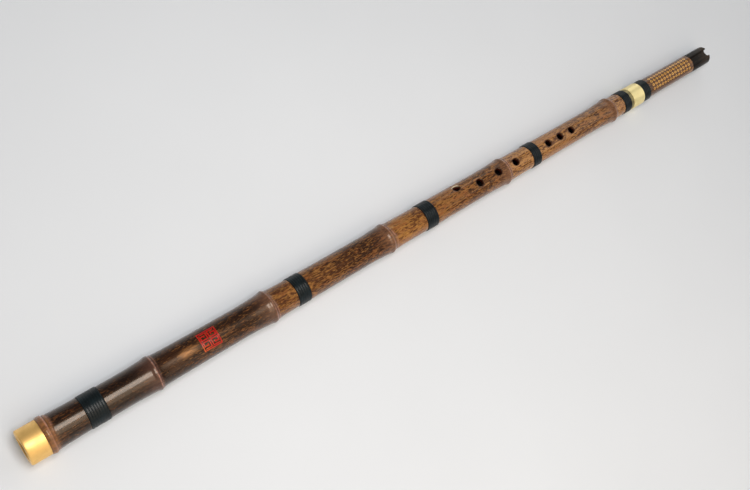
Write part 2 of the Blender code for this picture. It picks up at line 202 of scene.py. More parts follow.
class FluteColours(bpy.types.PropertyGroup):
    dark_skin: a_colour("Dark skin", "Darkest blotches of the bamboo's skin", (0.022, 0.0075, 0.0040))
    stain: a_colour("Stain", "Blotches of the golden parts", (0.115, 0.038, 0.011))
    brown_skin: a_colour("Brown skin", "Bamboo between the blotches before a node", (0.295, 0.124, 0.042))
    red_skin: a_colour("Red skin", "Reddish clouds of the bamboo's ground", (0.30, 0.095, 0.032))
    golden_skin: a_colour("Golden skin", "Bamboo between the blotches past a node", (0.47, 0.215, 0.052))
    node_skin: a_colour("Node skin", "Smooth greyish swell before a node's scar", (0.235, 0.115, 0.066))
    scar: a_colour("Node scar", "Bare lip of the sheath scar on a node", (0.48, 0.22, 0.155))
    bore_lacquer: a_colour("Bore lacquer", "Red lacquer in the bore and the holes", (0.060, 0.008, 0.005))
    brass: a_colour("Brass", "Golden brass of the foot cap", (0.95, 0.60, 0.20))
    pale_brass: a_colour("Pale brass", "Brighter brass of the wide ring and the tenon", (1.0, 0.85, 0.42))
    cord: a_colour("Binding cord", "Lacquered thread of the bindings", (0.0035, 0.0070, 0.0085))
    thread: a_colour("Waxed thread", "Thread on the tenon", (0.55, 0.42, 0.22))
    horn: a_colour("Horn", "Dark horn of the mouth tip", (0.007, 0.005, 0.0035))
    gilt: a_colour("Gilt", "Gilding of the lozenges", (0.90, 0.42, 0.075))
    seal_red: a_colour("Seal red", "Paint of the seal", (0.50, 0.010, 0.006))
    floor: a_colour("Floor", "Pale floor", (0.82, 0.855, 0.905))


class FluteStudio(bpy.types.PropertyGroup):
    lens: bpy.props.FloatProperty(
        name="Lens", description="The camera's focal length", default=48.0, min=20.0, max=200.0, unit="CAMERA"
    )
    key_power: a_power("Key light", "Power of the soft box over the foot", 8.0)
    half_power: a_power("Half light", "Power of the dimmer box beside the key light", 2.6)
    side_power: a_power("Side light", "Power of the low panel beside the foot", 1.8)
    head_power: a_power("Head light", "Power of the wide panel beyond the mouth", 12.0)
    far_power: a_power("Far light", "Power of the panel beyond the head section", 2.9)
    wall: a_brightness("Wall light", "Brightness of the room near the horizon", 0.55)
    ceiling: a_brightness("Ceiling light", "Brightness of the room overhead", 0.15)


# Shapes


def binding_width(turns, gap):
    return turns * (CORD + gap) + CORD


def node_swell(away):
    """A bell's rising half before the node and a fading curve past it."""
    before = np.exp(-((np.minimum(away, 0) / SWELL_RUN) ** 2))
    after = np.exp(-np.maximum(away, 0) / SHRINK_RUN)
    return before * after


def lower_radius(place):
    """Straight runs between the taper's rows, and at each node a swell with a narrow bell on it."""
    narrowing = np.interp(place / LOWER_LENGTH, *LOWER_TAPER)
    radius = FOOT_RADIUS + narrowing * (JOINT_RADIUS - FOOT_RADIUS)
    for at, full, _ in NODES:
        away = place - at
        ridge = np.exp(-((away / RIDGE_RUN) ** 2))
        radius = radius + full * (RIDGE_SHARE * ridge + (1 - RIDGE_SHARE) * node_swell(away))
    return radius


def head_radius(place):
    narrowing = np.interp((place - LOWER_LENGTH) / HEAD_LENGTH, *HEAD_TAPER)
    return HEAD_RADIUS + narrowing * (TIP_RADIUS - HEAD_RADIUS)


def scar_lines(place, turn):
    """Lip, groove and second lip of each sheath scar: three narrow bells in a row past the node, whose place
    leans to one side and ripples with the turn, and whose strength comes and goes round the tube.

    Gives the lift as a share of the scar's height, the lips alone and the groove alone.
    """
    past_node, lip_run = 0.0009, 0.00050
    groove_at, groove_run = 0.00115, 0.00045
    second_at = 0.0024
    lips = np.zeros(np.broadcast(place, turn).shape)
    grooves = np.zeros_like(lips)
    lift = np.zeros_like(lips)
    for number, (at, _, lean) in enumerate(NODES):
        ripple = 0.00050 * np.cos(turn - lean) + 0.00018 * np.sin(3 * turn + number)
        away = place - at - past_node - ripple
        strong = 0.70 + 0.30 * np.sin(turn + 2.1 * number)
        faint = 0.45 + 0.35 * np.sin(2 * turn - 1.3 * number)
        lip = strong * np.exp(-((away / lip_run) ** 2))
        groove = strong * np.exp(-(((away - groove_at) / groove_run) ** 2))
        second = faint * np.exp(-(((away - second_at - 1.5 * ripple) / lip_run) ** 2))
        lift += lip - 0.9 * groove + 0.6 * second
        lips += lip + second
        grooves += groove
    return lift, lips, grooves


def node_shade(place, turn):
    """How near a node is: the long half of a bell before its leaning scar and a short half past it."""
    run_before, run_past = 0.0115, 0.0024
    shade = np.zeros(np.broadcast(place, turn).shape)
    for at, _, lean in NODES:
        away = place - at - 0.0015 - 0.0012 * np.cos(turn - lean)
        run = np.where(away < 0, run_before, run_past)
        shade += np.exp(-((away / run) ** 2))
    return shade


def freshness(place):
    """A falling bell from 1 just past a node to nearly 0 before the next one, and to 0.4 on the thin half.

    The first and last places stand for nodes beyond both ends.
    """
    at = np.array([-0.10, *(node[0] for node in NODES), 0.80])
    number = np.searchsorted(at, place, side="right") - 1
    share = (place - at[number]) / (at[number + 1] - at[number])
    wear_and_glint = np.interp(place, (0.35, 0.55), (1.0, 0.60))
    return 1 - wear_and_glint * (1 - np.exp(-((share / 0.62) ** 2)))


def unevenness(place, turn):
    """A sum of slow waves round and along the tube, between about -1 and 1."""
    oval = np.sin(2 * turn + 9.0 * place) * 0.55
    lobes = np.sin(3 * turn - 23.0 * place + 1.0) * 0.30
    faint = np.sin(5 * turn + 61.0 * place) * 0.15
    return oval + lobes + faint


def lower_skin(place, turn):
    sizes = bpy.context.scene.flute_sizes
    lift, _, _ = scar_lines(place, turn)
    return lower_radius(place) + sizes.scar_height * lift + sizes.unevenness * unevenness(place, turn)


def head_skin(place, turn):
    sizes = bpy.context.scene.flute_sizes
    return head_radius(place) + 0.5 * sizes.unevenness * unevenness(place, turn)


def lower_bore(place, turn):
    widening = np.clip(1 - place / SOCKET_END, 0, 1)
    return JOINT_BORE + (FOOT_BORE - JOINT_BORE) * widening + 0 * turn


def round_points(place, turn, radius):
    """Points at a place along the flute, a turn round its axis and a radius from it."""
    place, turn, radius = np.broadcast_arrays(place, turn, radius)
    return np.stack([START + place, radius * np.sin(turn), AXIS_HEIGHT + radius * np.cos(turn)], -1)


def round_turns(columns=COLUMNS):
    return np.arange(columns) * 2 * np.pi / columns


def ring_quads(rings, columns=COLUMNS, closed=True):
    """Corners of the faces between rings, by ring and column. Closed joins the last ring to the first."""
    ring = np.arange(rings if closed else rings - 1)[:, None]
    column = np.arange(columns)[None, :]
    beside = (column + 1) % columns
    first = ring * columns
    after = (ring + 1) % rings * columns
    return np.stack([first + column, after + column, after + beside, first + beside], -1)


def eased(rows, steps=4):
    """A closed outline of (place, radius, easing) whose corners are swapped for short parabolas of steps + 1
    points each, which begin and end an easing away.
    """
    rows = np.asarray(rows, float)
    corner, easing = rows[:, :2], rows[:, 2]
    before = np.roll(corner, 1, axis=0) - corner
    after = np.roll(corner, -1, axis=0) - corner
    start = corner + before * np.minimum(0.45, easing / np.linalg.norm(before, axis=1))[:, None]
    end = corner + after * np.minimum(0.45, easing / np.linalg.norm(after, axis=1))[:, None]
    way = np.linspace(0, 1, steps + 1)[None, :, None]
    curve = (1 - way) ** 2 * start[:, None] + 2 * way * (1 - way) * corner[:, None] + way**2 * end[:, None]
    return curve.reshape(-1, 2)


def stepped(places, radii, easings, steps=4):
    """An eased outline in steps: at each place it turns to the next radius, and at the last to the first."""
    return eased(np.column_stack([np.repeat(places, 2), np.roll(np.repeat(radii, 2), -1), easings]), steps)


def smooth(mesh, crease):
    """Smooth shading with sharp edges where faces meet at more than the crease in degrees."""
    mesh.shade_smooth()
    mesh.set_sharp_from_angle(angle=math.radians(crease))


def mesh_of(name, points, faces, marks=None, crease=38.0):
    """A smooth mesh of the points that the faces use. Each array in faces holds faces of one corner count."""
    corners = np.concatenate([group.ravel() for group in faces])
    counts = np.concatenate([np.full(group.size // group.shape[-1], group.shape[-1]) for group in faces])
    used, corners = np.unique(corners, return_inverse=True)
    mesh = bpy.data.meshes.new(name)
    mesh.vertices.add(len(used))
    mesh.vertices.foreach_set("co", points.reshape(-1, 3)[used].astype(np.float32).ravel())
    mesh.loops.add(len(corners))
    mesh.loops.foreach_set("vertex_index", corners.astype(np.int32).ravel())
    mesh.polygons.add(len(counts))
    mesh.polygons.foreach_set("loop_start", (np.cumsum(counts) - counts).astype(np.int32))
    mesh.update(calc_edges=True)
    for mark, values in (marks or {}).items():
        layer = mesh.attributes.new(mark, "FLOAT", "POINT")
        layer.data.foreach_set("value", values[used].astype(np.float32))
    smooth(mesh, crease)
    return mesh


def put(name, data):
    """A new object in the scene."""
    made = bpy.data.objects.new(name, data)
    bpy.context.scene.collection.objects.link(made)
    return made


def set_up(thing, **settings):
    """Sets a thing's settings by their names and gives it back."""
    for setting, value in settings.items():
        setattr(thing, setting, value)
    return thing


def place_piece(name, mesh, material, body, slot, *nodes):
    """Puts a finished mesh in the scene, on its body and in the stead of the model's nodes."""
    piece = put(name, mesh)
    mesh.materials.clear()
    mesh.materials.append(material)
    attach(piece, body)
    if nodes:
        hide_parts(*nodes)


def turned_mesh(name, outline):
    """A closed outline of (place, radius) as a mesh, carried once round the axis."""
    points = round_points(outline[:, :1], round_turns(), outline[:, 1:])
    return mesh_of(name, points, [ring_quads(len(outline))])


def skinned_points(outline, skin):
    """The points of an outline's rings, on the bamboo's own skin where the outline's radius is nan."""
    place, radius = outline[:, :1], outline[:, 1:]
    turn = round_turns()
    return round_points(place, turn, np.where(np.isnan(radius), skin(place, turn), radius)).reshape(-1, 3)


def groove_floor(binding, surface):
    """The radius of the floor under a binding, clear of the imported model's cord of 24 points a turn."""
    _, low_end, turns, gap, height = binding
    middle = surface(low_end + binding_width(turns, gap) / 2) + height - CORD / 2
    return middle * math.cos(math.pi / 24) - CORD / 2 - CONTACT_GAP


def grooved_rows(places, bindings, surface, end):
    """Rows of a tube's outside as (place, fixed radius), where nan stands for the bamboo's own surface.

    A binding's groove takes the rows in it out, and brings in its two walls and its floor.
    """
    rows = np.column_stack([places, np.full(len(places), np.nan)])
    near = 0.0002
    for binding in bindings:
        _, low_end, turns, gap, _ = binding
        low = low_end - CONTACT_GAP
        high = low_end + binding_width(turns, gap) + CONTACT_GAP
        floor = groove_floor(binding, surface)
        if high + CORD < end:
            rows = rows[(rows[:, 0] < low - near) | (rows[:, 0] > high + near)]
            rows = np.vstack([rows, [(low, np.nan), (low, floor), (high, floor), (high, np.nan)]])
        else:
            rows = rows[rows[:, 0] < low - near]
            rows = np.vstack([rows, [(low, np.nan), (low, floor), (end, floor)]])
    return rows[np.argsort(rows[:, 0], kind="stable")]


def with_blocks(places, clear, number):
    """The places with an even set across each hole's block put in, and all others there taken out."""
    for at in sorted({hole[0] for hole in HOLES}):
        places = places[(places < at - BLOCK - clear) | (places > at + BLOCK + clear)]
        places = np.concatenate([places, at + np.linspace(-BLOCK, BLOCK, number)])
    return np.sort(places)


def block_edge(plus, minus, column, half):
    """Vertices round a block of a ring grid, from the middle of its high side towards rising turns.

    plus and minus are the rings at the block's high and low places, and half its half width in columns.
    """
    step = 1 if minus > plus else -1
    along = np.arange(plus, minus + step, step)
    high, low = column + half, column - half
    near = np.full(half, plus)
    sides = len(along) - 1
    rings = np.concatenate([near, along[:-1], np.full(2 * half, minus), along[::-1][:-1], near])
    around = [column + np.arange(half), np.full(sides, high), high - np.arange(2 * half), np.full(sides, low)]
    return rings * COLUMNS + np.concatenate([*around, low + np.arange(half)]) % COLUMNS


def block_faces(first, last, column, half):
    """Which (ring, column) faces lie in a block, as two index arrays."""
    return np.arange(first, last)[:, None], (column + np.arange(-half, half))[None, :] % COLUMNS


def across_hole(at, turn, away, surface, depth=0.0):
    """Points on circles round a hole's axis, each carried down to a surface of the tube and then by a depth.

    The circle's angle runs once round, away is its radius, and its height over the flute's axis is the
    other side of a right triangle on the surface's radius.
    """
    angle = round_turns(HOLE_SIDES)
    place = at + away * np.cos(angle)
    aside = away * np.sin(angle)
    near = surface(place, turn)
    radius = surface(place, turn + np.arcsin(aside / near))
    height = np.sqrt(radius**2 - aside**2) - depth
    across = height * np.sin(turn) + aside * np.cos(turn)
    up = height * np.cos(turn) - aside * np.sin(turn)
    return np.stack([START + place, across, AXIS_HEIGHT + up], -1)


def between_rings(outer, inner, surface, shares):
    """Rings on a surface between two rings on it, at shares of the way in place and turn."""
    place = np.stack([outer[:, 0], inner[:, 0]]) - START
    across = np.stack([outer[:, 1], inner[:, 1]])
    up = np.stack([outer[:, 2], inner[:, 2]]) - AXIS_HEIGHT
    turn = np.arctan2(across, up)
    step = (turn[1] - turn[0] + np.pi) % (2 * np.pi) - np.pi
    share = np.asarray(shares)[:, None]
    at = place[0] + share * (place[1] - place[0])
    turned = turn[0] + share * step
    return round_points(at, turned, surface(at, turned))


def hole_wall(at, diameter, turn, easing, outer, inner):
    """Rings from the outside's block through a hole to the bore's block: a flat run in to the hole's edge, a
    quarter round over it, the straight wall, a smaller quarter round and a run out on the bore.
    """
    radius = diameter / 2
    over = np.linspace(0, np.pi / 2, 5)

    def rounding(angles, size, surface, way):
        return [
            across_hole(at, turn, radius + size * (1 - math.sin(a)), surface, way * size * (1 - math.cos(a)))
            for a in angles
        ]

    edge = rounding(over, easing, lower_skin, 1)
    under = rounding(over[::-2], easing / 2, lower_bore, -1)
    share = np.linspace(0, 1, 5)[1:-1, None, None]
    wall = edge[-1] + share * (under[0] - edge[-1])
    first = between_rings(outer, edge[0], lower_skin, (0.34, 0.67))
    last = between_rings(under[-1], inner, lower_bore, (0.5,))
    return np.concatenate([first, edge, wall, under, last])


def lower_outside(shoulder, top):
    """Rows of the lower tube's outside: close together at nodes and holes, with a groove for each binding."""
    coarse_step, fine_step, near = 0.0016, 0.0003, 0.0048
    nodes = np.array([at for at, _, _ in NODES])
    coarse = np.arange(shoulder, top, coarse_step)
    coarse = coarse[np.abs(coarse[:, None] - nodes).min(axis=1) > near]
    fine = (nodes[:, None] + np.arange(-0.0045, 0.0052, fine_step)).ravel()
    fine = fine[(fine > shoulder + 0.0002) & (fine < top)]
    places = np.unique(np.concatenate([[shoulder, top], coarse, fine]))
    return grooved_rows(with_blocks(places, 0.0004, OUTSIDE_BLOCK[0]), LOWER_BINDINGS, lower_radius, top)


def tube_marks(place, inside_from, hole_points):
    """The lower tube's marks for its finish, as (on its rings, on the holes' walls) spread over all points.

    lined and edge follow the tables of a hole's rings. scar, groove and node come from the nodes' shapes on
    the outside. The last mark is a painted highlight: the side hole's edge times a straight run of the turn
    away from the row of holes.
    """
    turn = round_turns()
    inside = (np.arange(len(place)) >= inside_from)[:, None].astype(float)
    outside = 1 - inside
    _, lips, grooves = scar_lines(place, turn)
    hole_place = hole_points[:, 0] - START
    hole_turn = np.arctan2(hole_points[:, 1], hole_points[:, 2] - AXIS_HEIGHT)
    lined = np.tile(np.repeat(HOLE_LINED, HOLE_SIDES), len(HOLES))
    edge = np.tile(np.repeat(HOLE_EDGE, HOLE_SIDES), len(HOLES))
    # The last mark paints a pale highlight on the side hole's far rim.
    side_place, side_diameter, side_turn = HOLES[0]
    at_side = np.abs(hole_place - side_place) < side_diameter
    wear_and_glint = np.clip((hole_turn - math.radians(side_turn)) / 0.2, 0, 1) * at_side
    marks = {
        "lined": (inside, lined),
        "edge": (0.0, edge),
        "scar": (lips * outside, 0.0),
        "groove": (grooves * outside, 0.0),
        "node": (node_shade(place, turn) * outside, node_shade(hole_place, hole_turn) * (1 - lined)),
        "wear_and_glint": (0.0, edge * wear_and_glint),
    }
    shape = (len(place), COLUMNS)
    walls = len(hole_points)
    return {
        name: np.concatenate([np.broadcast_to(rings, shape).ravel(), np.broadcast_to(holes, walls)])
        for name, (rings, holes) in marks.items()
    }


def lower_tube_mesh(sizes):
    """The lower bamboo tube: an outline carried once round the axis. At each hole one block of its faces
    outside and one in the bore are swapped for the hole's own rings.
    """
    foot = FERRULE_LIP + GLUE_GAP
    shoulder = FERRULE_LENGTH + GLUE_GAP
    spigot = FERRULE_INNER - GLUE_GAP
    top = RIM_AT - GLUE_GAP
    step = SOCKET_END - GLUE_GAP
    seat = SOCKET_OUTER + GLUE_GAP
    bore = with_blocks(np.arange(foot, step, 0.010), 0.001, BORE_BLOCK[0])
    bore = np.append(bore, step)[::-1]
    inside = np.column_stack([bore, lower_bore(bore, 0.0)])
    foot_rows = [(foot, spigot), (shoulder, spigot)]
    outline = np.vstack([foot_rows, lower_outside(shoulder, top), [(top, seat), (step, seat)], inside])
    inside_from = len(outline) - len(bore)
    points = skinned_points(outline, lower_skin)
    quads = ring_quads(len(outline))
    kept = np.ones(quads.shape[:2], bool)
    walls, strips, total = [], [], len(points)
    for at, diameter, degrees in HOLES:
        around = math.radians(degrees)
        column = round(around / (2 * np.pi) * COLUMNS)
        low, high = (np.abs(outline[:inside_from, 0] - at - side).argmin() for side in (-BLOCK, BLOCK))
        bore_low, bore_high = (inside_from + np.abs(bore - at - side).argmin() for side in (-BLOCK, BLOCK))
        kept[block_faces(low, high, column, OUTSIDE_BLOCK[1])] = False
        kept[block_faces(bore_high, bore_low, column, BORE_BLOCK[1])] = False
        outer = block_edge(high, low, column, OUTSIDE_BLOCK[1])
        inner = block_edge(bore_high, bore_low, column, BORE_BLOCK[1])
        wall = hole_wall(at, diameter, around, sizes.hole_easing, points[outer], points[inner]).reshape(-1, 3)
        rings = np.concatenate([outer, total + np.arange(len(wall)), inner]).reshape(-1, HOLE_SIDES)
        beside = np.roll(rings, -1, axis=1)
        strips.append(np.stack([rings[:-1], beside[:-1], beside[1:], rings[1:]], -1).reshape(-1, 4))
        walls.append(wall)
        total += len(wall)
    hole_points = np.concatenate(walls)
    points = np.concatenate([points, hole_points])
    marks = tube_marks(outline[:, :1], inside_from, hole_points)
    marks["fresh"] = freshness(points[:, 0] - START)
    return mesh_of("lower_bamboo", points, [quads[kept], *strips], marks)


def head_tube_mesh():
    """The head bamboo tube: an outline carried once round the axis.

    Its panel mark is a smooth step down of the turn away from +Z times one of the place away from the middle
    of the lozenges.
    """
    ring_step = 0.0014
    panel_turn, turn_run = math.radians(50), 0.05
    panel_half, place_run = 0.0325, 0.0008
    bottom = RING_AT + RING_LIP + GLUE_GAP
    shoulder = TIP_AT - GLUE_GAP
    seat = TENON_OUTER + GLUE_GAP
    seat_end = TENON_TOP + GLUE_GAP
    spigot = HEAD_BORE + SPIGOT_WALL
    places = np.append(np.arange(bottom, shoulder - 0.0008, ring_step), shoulder)
    outside = grooved_rows(places, [HEAD_BINDING], head_radius, shoulder)
    tip_seat = [(shoulder, spigot), (HEAD_TOP, spigot)]
    bore = [(place, HEAD_BORE) for place in (HEAD_TOP, 0.755, 0.730, seat_end)]
    outline = np.vstack([outside, tip_seat, bore, [(seat_end, seat), (bottom, seat)]])
    points = skinned_points(outline, head_skin)
    bored = np.zeros((len(outline), 1))
    bored[-6:-2] = 1.0
    turn = round_turns()
    aside = np.minimum(turn, 2 * np.pi - turn)
    across = 1 / (1 + np.exp((aside - panel_turn) / turn_run))
    along = 1 / (1 + np.exp((np.abs(outline[:, :1] - LOZENGE_PLACE) - panel_half) / place_run))
    marks = {"lined": np.repeat(bored, COLUMNS), "panel": (across * along * (1 - bored)).ravel()}
    return mesh_of("head_bamboo", points, [ring_quads(len(outline))], marks)


def bump_shape(phase):
    """A row of half rounds: 1 on each crest and about 0.2 in each valley, one for each unit of the phase."""
    return np.sqrt(1 - 0.95 * (2 * (phase - np.floor(phase)) - 1) ** 2)


def wound_mesh(name, low_end, width, top, base, floor, pitch, turn_depth, threads, thread_depth, samples=5):
    """A wound band as a closed ring grid: its outside is the top radius less the valleys of the broad turns
    and of the fine threads. Their phase grows along the band and falls with the turn, so both wind as a
    screw. Each end rounds down to the base and goes on to the floor.
    """
    end_rounding = 0.0006
    rings = int(round(width / pitch * threads * samples)) + 1
    along = np.linspace(0, width, rings)[:, None]
    turn = round_turns()
    phase = along / pitch - turn / (2 * np.pi) + 0.5
    radius = top - turn_depth * (1 - bump_shape(phase)) - thread_depth * (1 - bump_shape(phase * threads))
    ending = np.clip(np.minimum(along, width - along) / end_rounding, 0, 1)
    radius = base + (radius - base) * np.sqrt(1 - (1 - ending) ** 2)
    radius = np.vstack([radius, np.full((2, COLUMNS), floor)])
    place = low_end + np.vstack([along, [[width], [0.0]]])
    return mesh_of(name, round_points(place, turn, radius), [ring_quads(len(place))], crease=70.0)


def binding_mesh(binding, surface, sizes):
    name, low_end, turns, gap, height = binding
    width = binding_width(turns, gap)
    on = surface(low_end + width / 2)
    floor = groove_floor(binding, surface) + 0.00002
    valleys = (CORD + gap, sizes.turn_depth, 4, sizes.thread_depth)
    return wound_mesh(f"{name}_thread", low_end, width, on + height, on - 0.0003, floor, *valleys)


def tip_mesh():
    """The horn tip before its notch: an outline from the axis on the inner wall round to the axis on the end
    face, carried once round the axis, with a fan of faces on each pole.
    """
    end = LENGTH - TIP_END_WALL
    bottom = HEAD_TOP + GLUE_GAP
    near_pole = 0.004
    outline = [
        (bottom, HEAD_BORE, 0.0001),
        (bottom, TIP_SOCKET, 0.0001),
        (TIP_AT, TIP_SOCKET, 0.0001),
        (TIP_AT, float(head_radius(TIP_AT)), 0.0002),
        (LENGTH, TIP_RADIUS, 0.0011),
        (LENGTH, near_pole, 0.0001),
        (end, near_pole, 0.0001),
        (end, HEAD_BORE, 0.0006),
    ]
    # Each corner has five points. The two near the poles only close the outline, so all but one point goes.
    rows = eased(outline)
    rows = np.vstack([rows[7 * 5 :], rows[: 5 * 5 + 1]])
    columns = 64
    points = round_points(rows[:, :1], round_turns(columns), rows[:, 1:]).reshape(-1, 3)
    poles = round_points(np.array([end, LENGTH]), 0.0, 0.0)
    inner_pole = np.full(columns, len(points))
    column = np.arange(columns)
    beside = (column + 1) % columns
    last = (len(rows) - 1) * columns
    inner_fan = np.stack([inner_pole, column, beside], -1)
    outer_fan = np.stack([last + column, inner_pole + 1, last + beside], -1)
    quads = ring_quads(len(rows), columns, closed=False)
    return mesh_of("mouth_tip_horn", np.vstack([points, poles]), [quads, inner_fan, outer_fan], crease=50.0)


def notch_mesh():
    """The space of the blowing notch: a U of half a turn and two straight sides past the end face, carried up
    from inside the bore, and wider and deeper towards the outside by a power of the height.
    """
    flare_from = HEAD_BORE - 0.0012
    above, beyond = 0.0125, 0.005
    angle = np.linspace(-np.pi / 2, np.pi / 2, 25)[None, :]
    height = np.concatenate([[NOTCH_FLOOR_HEIGHT], np.linspace(flare_from, TIP_RADIUS, 9), [above]])
    share = np.clip((height - flare_from) / (TIP_RADIUS - flare_from), 0, 1)
    flare = (share**1.6)[:, None]
    half = (NOTCH_WIDTH + NOTCH_WIDENING * flare) / 2
    depth = NOTCH_DEPTH + NOTCH_DEEPENING * flare
    bottom = LENGTH - depth + half
    bend = np.stack(np.broadcast_arrays(bottom - half * np.cos(angle), half * np.sin(angle)), -1)
    past = np.full_like(half, LENGTH + beyond)
    low_side = np.stack([past, -half], -1)
    high_side = np.stack([past, half], -1)
    rows = np.concatenate([low_side, bend, high_side], axis=1)
    around = rows.shape[1]
    up = np.broadcast_to(AXIS_HEIGHT + height[:, None], rows.shape[:2])
    points = np.stack([START + rows[..., 0], rows[..., 1], up], -1)
    sides = ring_quads(len(height), around, closed=False)
    floor = np.arange(around)[None, :]
    lid = (len(height) - 1) * around + np.arange(around)[::-1][None, :]
    return mesh_of("notch_space", points, [sides, floor, lid], crease=50.0)


def carve(mesh, tool_mesh):
    """The mesh with the tool's space taken out and the new edges rounded, as a new mesh."""
    piece = put("carving", mesh)
    tool = put("carving_tool", tool_mesh)
    cut = piece.modifiers.new("notch", "BOOLEAN")
    set_up(cut, object=tool, operation="DIFFERENCE", solver="EXACT")
    soften = piece.modifiers.new("soften", "BEVEL")
    set_up(soften, width=0.00022, segments=3, limit_method="ANGLE", angle_limit=math.radians(38))
    bpy.context.view_layer.update()
    seen = piece.evaluated_get(bpy.context.evaluated_depsgraph_get())
    made = bpy.data.meshes.new_from_object(seen)
    bpy.data.objects.remove(piece)
    bpy.data.objects.remove(tool)
    smooth(made, 40)
    return made


def raised_lines(name, paths, width, height, surface, split):
    """Lines of paint or gilt on a tube: a six-sided section carried along each path of (place, arc length).

    The section's sides follow the path at half its width along the mitre of its corners, and the arc length
    over the radius gives the turn. paths is an array of equal paths, by path, station and pair, and each of
    their steps is split in as many parts.
    """
    step = np.diff(paths, axis=1)
    step = step / np.linalg.norm(step, axis=2, keepdims=True)
    aside = np.stack([-step[..., 1], step[..., 0]], -1)
    before = np.concatenate([aside[:, :1], aside], axis=1)
    after = np.concatenate([aside, aside[:, -1:]], axis=1)
    mitre = (before + after) / (1 + np.sum(before * after, axis=2, keepdims=True))
    stations = paths.shape[1]
    fine = np.linspace(0, stations - 1, (stations - 1) * split + 1)
    low = np.minimum(fine.astype(int), stations - 2)
    share = (fine - low)[None, :, None]
    line = paths[:, low] * (1 - share) + paths[:, low + 1] * share
    lean = mitre[:, low] * (1 - share) + mitre[:, low + 1] * share
    sunk, shoulder = -0.00012, 0.45 * height
    out = np.array([-1.0, -1.0, -0.62, 0.62, 1.0, 1.0]) * width / 2
    lift = np.array([sunk, shoulder, height, height, shoulder, sunk])
    flat = line[:, :, None] + lean[:, :, None] * out[None, None, :, None]
    place = flat[..., 0]
    around = flat[..., 1] / surface(place, 0.0)
    radius = surface(place, around) + lift
    rings = len(fine)
    ring = (np.arange(len(paths))[:, None, None] * rings + np.arange(rings - 1)[None, :, None]) * 6
    side = np.arange(6)[None, None, :]
    beside = (side + 1) % 6
    quads = np.stack([ring + side, ring + beside, ring + 6 + beside, ring + 6 + side], -1)
    first = np.arange(len(paths))[:, None] * rings * 6
    start_cap = first + np.arange(6)[::-1][None, :]
    end_cap = first + (rings - 1) * 6 + np.arange(6)[None, :]
    return mesh_of(name, round_points(place, around, radius), [quads, start_cap, end_cap], crease=60.0)


# Finishes


# (share of the flute's length, amount): how darkened the bamboo is, and how golden
LOWER_AGE = (
    (0.0, 0.80),
    (0.14, 0.90),
    (0.19, 0.60),
    (0.27, 0.42),
    (0.31, 0.12),
    (0.42, 0.22),
    (0.46, 0.0),
    (0.80, 0.0),
)
LOWER_GOLD = ((0.0, 0.30), (0.14, 0.30), (0.30, 0.75), (0.46, 1.0), (0.62, 1.0))
HEAD_AGE = ((0.875, 0.45), (0.895, 0.20), (0.97, 0.10))
HEAD_GOLD = ((0.86, 0.35), (0.97, 0.6))


class Nodes:
    """The nodes of a material or a world, with short calls for those that feed its last one."""

    def __init__(self, owner, last, coordinates, **sockets):
        owner.use_nodes = True
        self.owner = owner
        self.tree = owner.node_tree
        self.last = self.tree.nodes[last]
        self.finish(**sockets)
        self.where = self.add("ShaderNodeTexCoord").outputs[coordinates]

    def finish(self, **sockets):
        for socket, value in sockets.items():
            self.set(self.last, socket.replace("_", " "), value)
        return self.owner

    def set(self, node, socket, value):
        """Links a socket to another or sets its value. A colour is given by its three channels."""
        target = node.inputs[socket]
        if isinstance(value, bpy.types.NodeSocket):
            self.tree.links.new(value, target)
        else:
            target.default_value = (*value, 1.0) if target.type == "RGBA" else value

    def add(self, kind, sockets=None, **settings):
        node = set_up(self.tree.nodes.new(kind), **settings)
        for socket, value in (sockets or {}).items():
            self.set(node, socket, value)
        return node

    def sides(self):
        """The coordinates along X, Y and Z."""
        return tuple(self.add("ShaderNodeSeparateXYZ", {"Vector": self.where}).outputs)

    def noise(self, along, across, detail=4.0, roughness=0.55, distortion=0.0, shift=(0.0, 0.0, 0.0)):
        """Fractal noise on object coordinates times a scale along the flute and one across it."""
        scale = (along, across, across)
        spread = self.add("ShaderNodeMapping", {"Vector": self.where, "Scale": scale, "Location": shift})
        kind = {"Scale": 1.0, "Detail": detail, "Roughness": roughness, "Distortion": distortion}
        return self.add("ShaderNodeTexNoise", {"Vector": spread.outputs["Vector"], **kind}).outputs["Fac"]

    def mark(self, name):
        return self.add("ShaderNodeAttribute", attribute_name=name).outputs["Fac"]

    def run(self, value, low, high, start=0.0, end=1.0, kind="SMOOTHSTEP"):
        """Start below low, end above high, and an eased run between."""
        sockets = {"Value": value, "From Min": low, "From Max": high, "To Min": start, "To Max": end}
        return self.add("ShaderNodeMapRange", sockets, interpolation_type=kind).outputs["Result"]

    def line(self, value, low, high, start=0.0, end=1.0):
        """Start below low, end above high, and a straight line between."""
        return self.run(value, low, high, start, end, "LINEAR")

    def math(self, operation, first, second=0.0):
        return self.add("ShaderNodeMath", {0: first, 1: second}, operation=operation).outputs[0]

    def times(self, first, second):
        return self.math("MULTIPLY", first, second)

    def plus(self, first, second):
        return self.math("ADD", first, second)

    def curve(self, factor, stops):
        """Straight lines between stops of (position, value)."""
        node = self.add("ShaderNodeValToRGB", {"Fac": factor})
        elements = node.color_ramp.elements
        while len(elements) < len(stops):
            elements.new(0.5)
        for element, (position, value) in zip(elements, stops):
            element.position = position
            element.color = (value, value, value, 1.0)
        return node.outputs["Color"]

    def mix(self, factor, first, second, way="MIX"):
        sockets = {0: factor, 6: first, 7: second}
        return self.add("ShaderNodeMix", sockets, data_type="RGBA", blend_type=way).outputs[2]

    def relief(self, height, distance, strength, under=None):
        sockets = {"Height": height, "Distance": distance, "Strength": strength}
        if under is not None:
            sockets["Normal"] = under
        return self.add("ShaderNodeBump", sockets).outputs["Normal"]


def new_finish(name, **sockets):
    return Nodes(bpy.data.materials.new(name), "Principled BSDF", "Object", **sockets)


def scaled(colour, *factors):
    """A colour's channels times one factor each, or all times the same one."""
    return tuple(channel * factor for channel, factor in zip(colour, factors * (3 // len(factors))))


